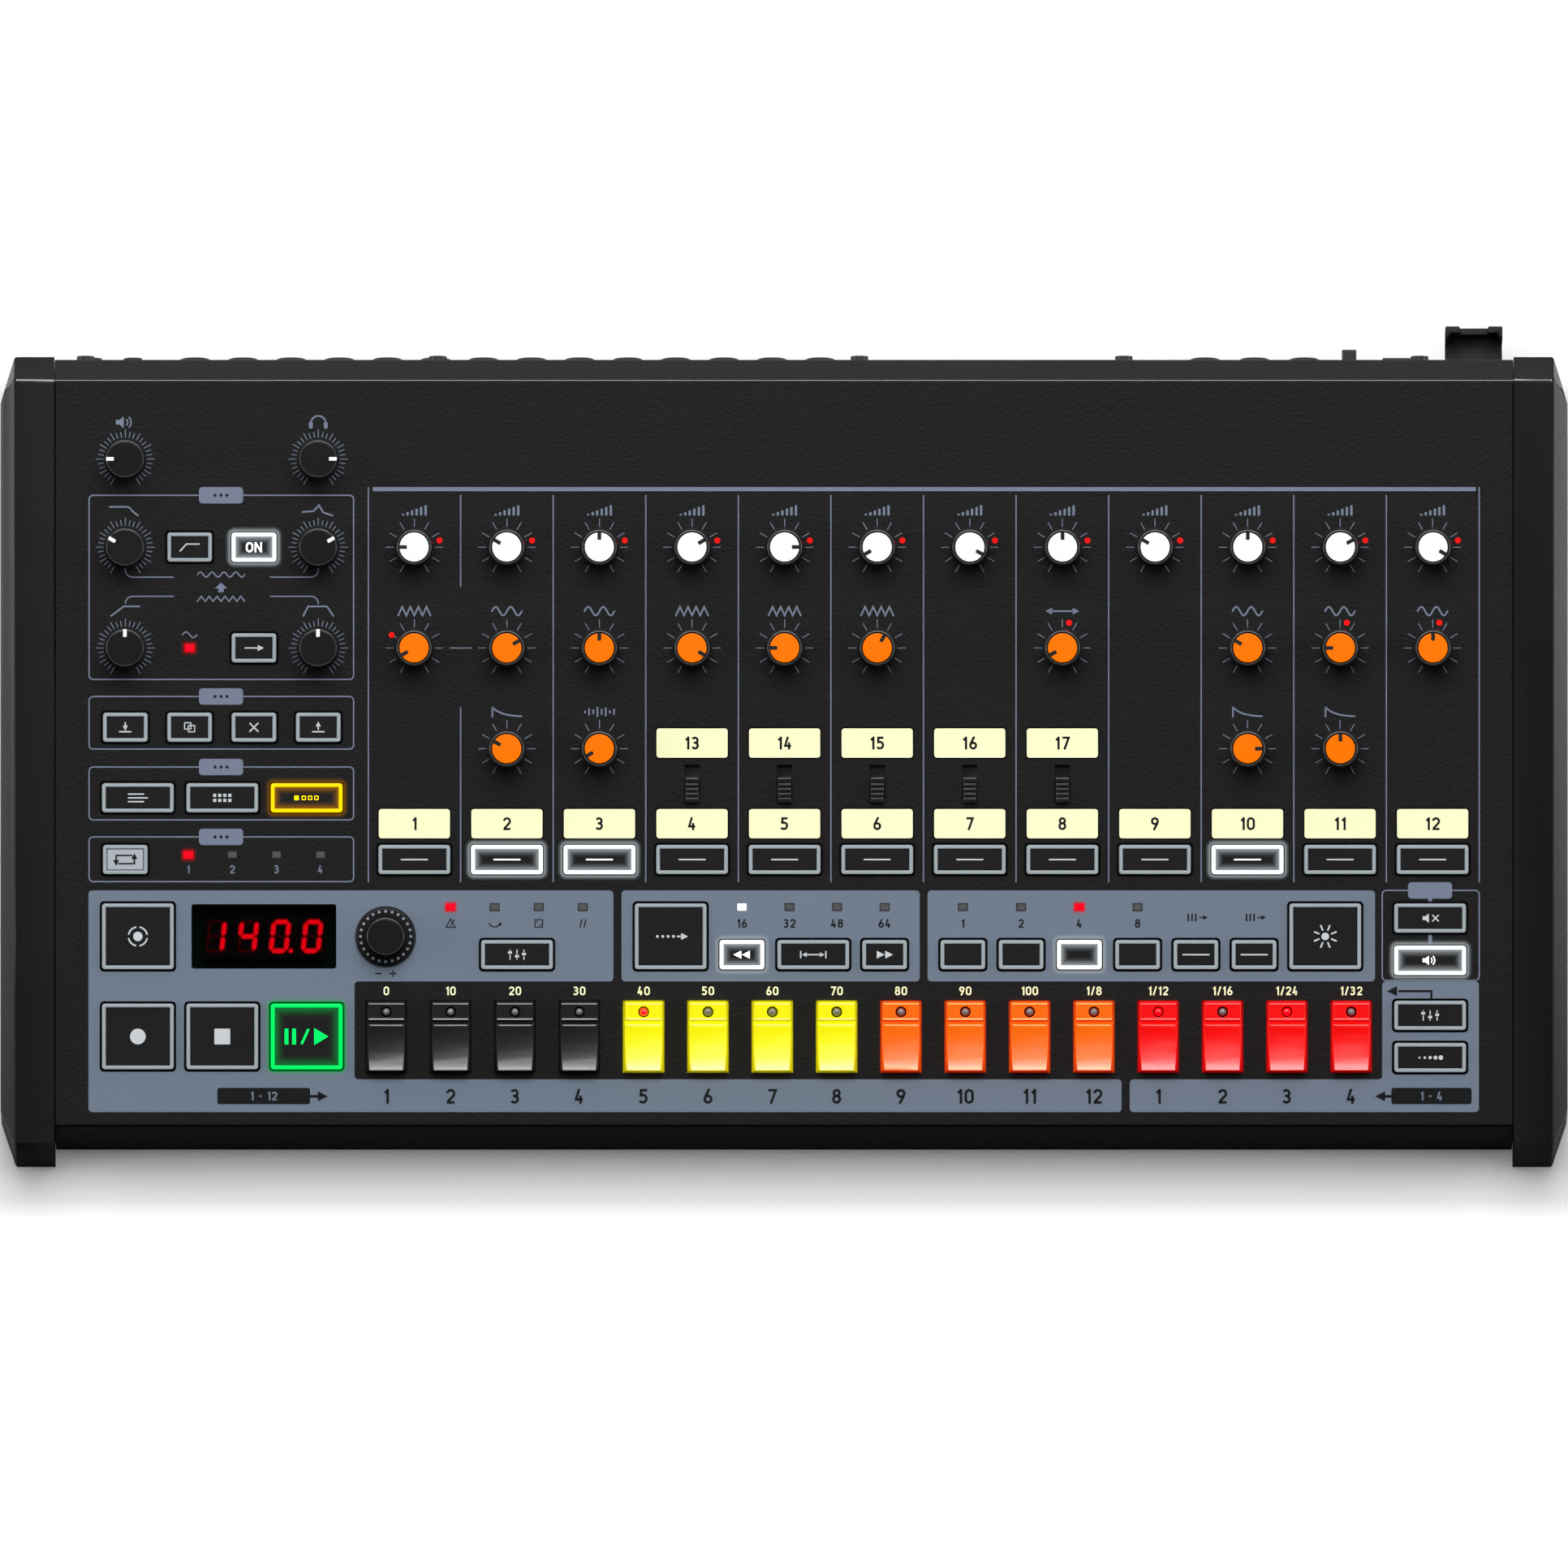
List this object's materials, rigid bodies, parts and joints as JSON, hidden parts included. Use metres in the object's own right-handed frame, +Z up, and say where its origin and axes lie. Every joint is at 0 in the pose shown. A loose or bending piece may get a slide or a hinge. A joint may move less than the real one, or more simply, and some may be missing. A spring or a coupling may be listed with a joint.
{
  "type": "drum machine",
  "caption": "Tabletop drum machine: sloping black panel with capped knobs, framed lit buttons, coloured step keys, a numeric display and a row of rear sockets.",
  "frame": {"origin": "on the table, under the middle of the machine's overall box", "axes": "+X to the player's right along the width, +Y away from the player towards the sockets, +Z up"},
  "size_m": [0.498, 0.265, 0.0739],
  "materials": {
    "panel_black": "grained satin powder coat",
    "tray_black": "grained satin powder coat",
    "cheek_black": "fine satin texture",
    "foot_rubber": "matte",
    "screw_steel": "black zinc",
    "board_green": "solder mask",
    "pot_metal": "plated",
    "switch_black": "matte",
    "lamp_lens": "diffuse lens",
    "window_black": "smoked, glossy",
    "display_red": "segment display",
    "jack_black": "moulded",
    "socket_metal": "nickel plated",
    "hook_grey": "moulded",
    "button_frame": "translucent frame round a black face",
    "key_black": "satin gloss",
    "key_yellow": "satin gloss",
    "key_orange": "satin gloss",
    "key_red": "satin gloss",
    "knob_black": "matte, white pointer",
    "knob_white": "white cap on a black knob",
    "knob_orange": "orange cap on a black knob"
  },
  "bodies": {
    "chassis": {"top_panel": "panel_black", "base_tray": "tray_black", "right_cheek": "cheek_black", "left_cheek": "cheek_black", "rubber_feet": "foot_rubber", "case_screws": "screw_steel", "circuit_boards": "board_green", "pot_bodies": "pot_metal", "switch_bodies": "switch_black", "panel_lamps": "lamp_lens", "display_window": "window_black", "display_module": "display_red", "audio_jacks": "jack_black", "midi_sockets": "jack_black", "usb_socket": "socket_metal", "power_inlet": "jack_black", "power_switch_body": "switch_black", "cable_hook": "hook_grey"},
    "select_button_group": {"select_buttons": "button_frame"},
    "small_button_group": {"small_buttons": "button_frame"},
    "large_button_group": {"large_buttons": "button_frame"},
    "black_key_group": {"step_keys_black": "key_black"},
    "yellow_key_group": {"step_keys_yellow": "key_yellow"},
    "orange_key_group": {"step_keys_orange": "key_orange"},
    "red_key_group": {"step_keys_red": "key_red"},
    "slider_group": {"slide_switch_tips": "switch_black"},
    "power_lever": {"power_switch_lever": "switch_black"},
    "master_knob_body": {"master_knob": "knob_black"},
    "phones_knob_body": {"phones_knob": "knob_black"},
    "cutoff_knob_body": {"cutoff_knob": "knob_black"},
    "resonance_knob_body": {"resonance_knob": "knob_black"},
    "attack_knob_body": {"attack_knob": "knob_black"},
    "sustain_knob_body": {"sustain_knob": "knob_black"},
    "level_knob_01_body": {"level_knob_01": "knob_white"},
    "level_knob_02_body": {"level_knob_02": "knob_white"},
    "level_knob_03_body": {"level_knob_03": "knob_white"},
    "level_knob_04_body": {"level_knob_04": "knob_white"},
    "level_knob_05_body": {"level_knob_05": "knob_white"},
    "level_knob_06_body": {"level_knob_06": "knob_white"},
    "level_knob_07_body": {"level_knob_07": "knob_white"},
    "level_knob_08_body": {"level_knob_08": "knob_white"},
    "level_knob_09_body": {"level_knob_09": "knob_white"},
    "level_knob_10_body": {"level_knob_10": "knob_white"},
    "level_knob_11_body": {"level_knob_11": "knob_white"},
    "level_knob_12_body": {"level_knob_12": "knob_white"},
    "tone_knob_01_body": {"tone_knob_01": "knob_orange"},
    "tone_knob_02_body": {"tone_knob_02": "knob_orange"},
    "tone_knob_03_body": {"tone_knob_03": "knob_orange"},
    "tone_knob_04_body": {"tone_knob_04": "knob_orange"},
    "tone_knob_05_body": {"tone_knob_05": "knob_orange"},
    "tone_knob_06_body": {"tone_knob_06": "knob_orange"},
    "tone_knob_08_body": {"tone_knob_08": "knob_orange"},
    "tone_knob_10_body": {"tone_knob_10": "knob_orange"},
    "tone_knob_11_body": {"tone_knob_11": "knob_orange"},
    "tone_knob_12_body": {"tone_knob_12": "knob_orange"},
    "decay_knob_02_body": {"decay_knob_02": "knob_orange"},
    "decay_knob_03_body": {"decay_knob_03": "knob_orange"},
    "decay_knob_10_body": {"decay_knob_10": "knob_orange"},
    "decay_knob_11_body": {"decay_knob_11": "knob_orange"},
    "data_knob_body": {"data_knob": "knob_black"}
  },
  "joints": [
    {"name": "select_buttons_press", "type": "slide", "parent": "chassis", "child": "select_button_group", "axis": [0, 0.1219, -0.9925], "range_m": [0, 0.0008], "stiffness_N_per_m": 1500, "springref_m": -0.001},
    {"name": "small_buttons_press", "type": "slide", "parent": "chassis", "child": "small_button_group", "axis": [0, 0.1219, -0.9925], "range_m": [0, 0.0008], "stiffness_N_per_m": 1500, "springref_m": -0.001},
    {"name": "large_buttons_press", "type": "slide", "parent": "chassis", "child": "large_button_group", "axis": [0, 0.1219, -0.9925], "range_m": [0, 0.0008], "stiffness_N_per_m": 1500, "springref_m": -0.001},
    {"name": "black_keys_press", "type": "slide", "parent": "chassis", "child": "black_key_group", "axis": [0, 0.1219, -0.9925], "range_m": [0, 0.0015], "stiffness_N_per_m": 1000, "springref_m": -0.001},
    {"name": "yellow_keys_press", "type": "slide", "parent": "chassis", "child": "yellow_key_group", "axis": [0, 0.1219, -0.9925], "range_m": [0, 0.0015], "stiffness_N_per_m": 1000, "springref_m": -0.001},
    {"name": "orange_keys_press", "type": "slide", "parent": "chassis", "child": "orange_key_group", "axis": [0, 0.1219, -0.9925], "range_m": [0, 0.0015], "stiffness_N_per_m": 1000, "springref_m": -0.001},
    {"name": "red_keys_press", "type": "slide", "parent": "chassis", "child": "red_key_group", "axis": [0, 0.1219, -0.9925], "range_m": [0, 0.0015], "stiffness_N_per_m": 1000, "springref_m": -0.001},
    {"name": "slide_switches", "type": "slide", "parent": "chassis", "child": "slider_group", "axis": [0, 0.9925, 0.1219], "range_m": [0, 0.004]},
    {"name": "power_switch", "type": "slide", "parent": "chassis", "child": "power_lever", "axis": [1, 0, 0], "range_m": [0, 0.004]},
    {"name": "master_knob_turn", "type": "hinge", "parent": "chassis", "child": "master_knob_body", "pos_m": [-0.2092, 0.08699, 0.06184], "axis": [0, -0.1219, 0.9925], "range_deg": [-240, 60]},
    {"name": "phones_knob_turn", "type": "hinge", "parent": "chassis", "child": "phones_knob_body", "pos_m": [-0.14791, 0.08699, 0.06184], "axis": [0, -0.1219, 0.9925], "range_deg": [-60, 240]},
    {"name": "cutoff_knob_turn", "type": "hinge", "parent": "chassis", "child": "cutoff_knob_body", "pos_m": [-0.2092, 0.0592, 0.05842], "axis": [0, -0.1219, 0.9925], "range_deg": [-210, 90]},
    {"name": "resonance_knob_turn", "type": "hinge", "parent": "chassis", "child": "resonance_knob_body", "pos_m": [-0.14791, 0.0592, 0.05842], "axis": [0, -0.1219, 0.9925], "range_deg": [-90, 210]},
    {"name": "attack_knob_turn", "type": "hinge", "parent": "chassis", "child": "attack_knob_body", "pos_m": [-0.2092, 0.02744, 0.05452], "axis": [0, -0.1219, 0.9925], "range_deg": [-150, 150]},
    {"name": "sustain_knob_turn", "type": "hinge", "parent": "chassis", "child": "sustain_knob_body", "pos_m": [-0.14791, 0.02744, 0.05452], "axis": [0, -0.1219, 0.9925], "range_deg": [-150, 150]},
    {"name": "level_knob_01_turn", "type": "hinge", "parent": "chassis", "child": "level_knob_01_body", "pos_m": [-0.1174, 0.0592, 0.05842], "axis": [0, -0.1219, 0.9925], "range_deg": [-240, 60]},
    {"name": "level_knob_02_turn", "type": "hinge", "parent": "chassis", "child": "level_knob_02_body", "pos_m": [-0.088, 0.0592, 0.05842], "axis": [0, -0.1219, 0.9925], "range_deg": [-210, 90]},
    {"name": "level_knob_03_turn", "type": "hinge", "parent": "chassis", "child": "level_knob_03_body", "pos_m": [-0.0586, 0.0592, 0.05842], "axis": [0, -0.1219, 0.9925], "range_deg": [-150, 150]},
    {"name": "level_knob_04_turn", "type": "hinge", "parent": "chassis", "child": "level_knob_04_body", "pos_m": [-0.0292, 0.0592, 0.05842], "axis": [0, -0.1219, 0.9925], "range_deg": [-90, 210]},
    {"name": "level_knob_05_turn", "type": "hinge", "parent": "chassis", "child": "level_knob_05_body", "pos_m": [0.0002, 0.0592, 0.05842], "axis": [0, -0.1219, 0.9925], "range_deg": [-60, 240]},
    {"name": "level_knob_06_turn", "type": "hinge", "parent": "chassis", "child": "level_knob_06_body", "pos_m": [0.0296, 0.0592, 0.05842], "axis": [0, -0.1219, 0.9925], "range_deg": [-270, 30]},
    {"name": "level_knob_07_turn", "type": "hinge", "parent": "chassis", "child": "level_knob_07_body", "pos_m": [0.059, 0.0592, 0.05842], "axis": [0, -0.1219, 0.9925], "range_deg": [-30, 270]},
    {"name": "level_knob_08_turn", "type": "hinge", "parent": "chassis", "child": "level_knob_08_body", "pos_m": [0.0884, 0.0592, 0.05842], "axis": [0, -0.1219, 0.9925], "range_deg": [-150, 150]},
    {"name": "level_knob_09_turn", "type": "hinge", "parent": "chassis", "child": "level_knob_09_body", "pos_m": [0.1178, 0.0592, 0.05842], "axis": [0, -0.1219, 0.9925], "range_deg": [-210, 90]},
    {"name": "level_knob_10_turn", "type": "hinge", "parent": "chassis", "child": "level_knob_10_body", "pos_m": [0.1472, 0.0592, 0.05842], "axis": [0, -0.1219, 0.9925], "range_deg": [-150, 150]},
    {"name": "level_knob_11_turn", "type": "hinge", "parent": "chassis", "child": "level_knob_11_body", "pos_m": [0.1766, 0.0592, 0.05842], "axis": [0, -0.1219, 0.9925], "range_deg": [-90, 210]},
    {"name": "level_knob_12_turn", "type": "hinge", "parent": "chassis", "child": "level_knob_12_body", "pos_m": [0.206, 0.0592, 0.05842], "axis": [0, -0.1219, 0.9925], "range_deg": [-30, 270]},
    {"name": "tone_knob_01_turn", "type": "hinge", "parent": "chassis", "child": "tone_knob_01_body", "pos_m": [-0.1174, 0.02744, 0.05452], "axis": [0, -0.1219, 0.9925], "range_deg": [-270, 30]},
    {"name": "tone_knob_02_turn", "type": "hinge", "parent": "chassis", "child": "tone_knob_02_body", "pos_m": [-0.088, 0.02744, 0.05452], "axis": [0, -0.1219, 0.9925], "range_deg": [-90, 210]},
    {"name": "tone_knob_03_turn", "type": "hinge", "parent": "chassis", "child": "tone_knob_03_body", "pos_m": [-0.0586, 0.02744, 0.05452], "axis": [0, -0.1219, 0.9925], "range_deg": [-150, 150]},
    {"name": "tone_knob_04_turn", "type": "hinge", "parent": "chassis", "child": "tone_knob_04_body", "pos_m": [-0.0292, 0.02744, 0.05452], "axis": [0, -0.1219, 0.9925], "range_deg": [-30, 270]},
    {"name": "tone_knob_05_turn", "type": "hinge", "parent": "chassis", "child": "tone_knob_05_body", "pos_m": [0.0002, 0.02744, 0.05452], "axis": [0, -0.1219, 0.9925], "range_deg": [-240, 60]},
    {"name": "tone_knob_06_turn", "type": "hinge", "parent": "chassis", "child": "tone_knob_06_body", "pos_m": [0.0296, 0.02744, 0.05452], "axis": [0, -0.1219, 0.9925], "range_deg": [-120, 180]},
    {"name": "tone_knob_08_turn", "type": "hinge", "parent": "chassis", "child": "tone_knob_08_body", "pos_m": [0.0884, 0.02744, 0.05452], "axis": [0, -0.1219, 0.9925], "range_deg": [-270, 30]},
    {"name": "tone_knob_10_turn", "type": "hinge", "parent": "chassis", "child": "tone_knob_10_body", "pos_m": [0.1472, 0.02744, 0.05452], "axis": [0, -0.1219, 0.9925], "range_deg": [-210, 90]},
    {"name": "tone_knob_11_turn", "type": "hinge", "parent": "chassis", "child": "tone_knob_11_body", "pos_m": [0.1766, 0.02744, 0.05452], "axis": [0, -0.1219, 0.9925], "range_deg": [-240, 60]},
    {"name": "tone_knob_12_turn", "type": "hinge", "parent": "chassis", "child": "tone_knob_12_body", "pos_m": [0.206, 0.02744, 0.05452], "axis": [0, -0.1219, 0.9925], "range_deg": [-150, 150]},
    {"name": "decay_knob_02_turn", "type": "hinge", "parent": "chassis", "child": "decay_knob_02_body", "pos_m": [-0.088, -0.00432, 0.05062], "axis": [0, -0.1219, 0.9925], "range_deg": [-210, 90]},
    {"name": "decay_knob_03_turn", "type": "hinge", "parent": "chassis", "child": "decay_knob_03_body", "pos_m": [-0.0586, -0.00432, 0.05062], "axis": [0, -0.1219, 0.9925], "range_deg": [-270, 30]},
    {"name": "decay_knob_10_turn", "type": "hinge", "parent": "chassis", "child": "decay_knob_10_body", "pos_m": [0.1472, -0.00432, 0.05062], "axis": [0, -0.1219, 0.9925], "range_deg": [-60, 240]},
    {"name": "decay_knob_11_turn", "type": "hinge", "parent": "chassis", "child": "decay_knob_11_body", "pos_m": [0.1766, -0.00432, 0.05062], "axis": [0, -0.1219, 0.9925], "range_deg": [-150, 150]},
    {"name": "data_knob_turn", "type": "hinge", "parent": "chassis", "child": "data_knob_body", "pos_m": [-0.1265, -0.06348, 0.04336], "axis": [0, -0.1219, 0.9925], "continuous": true}
  ]
}
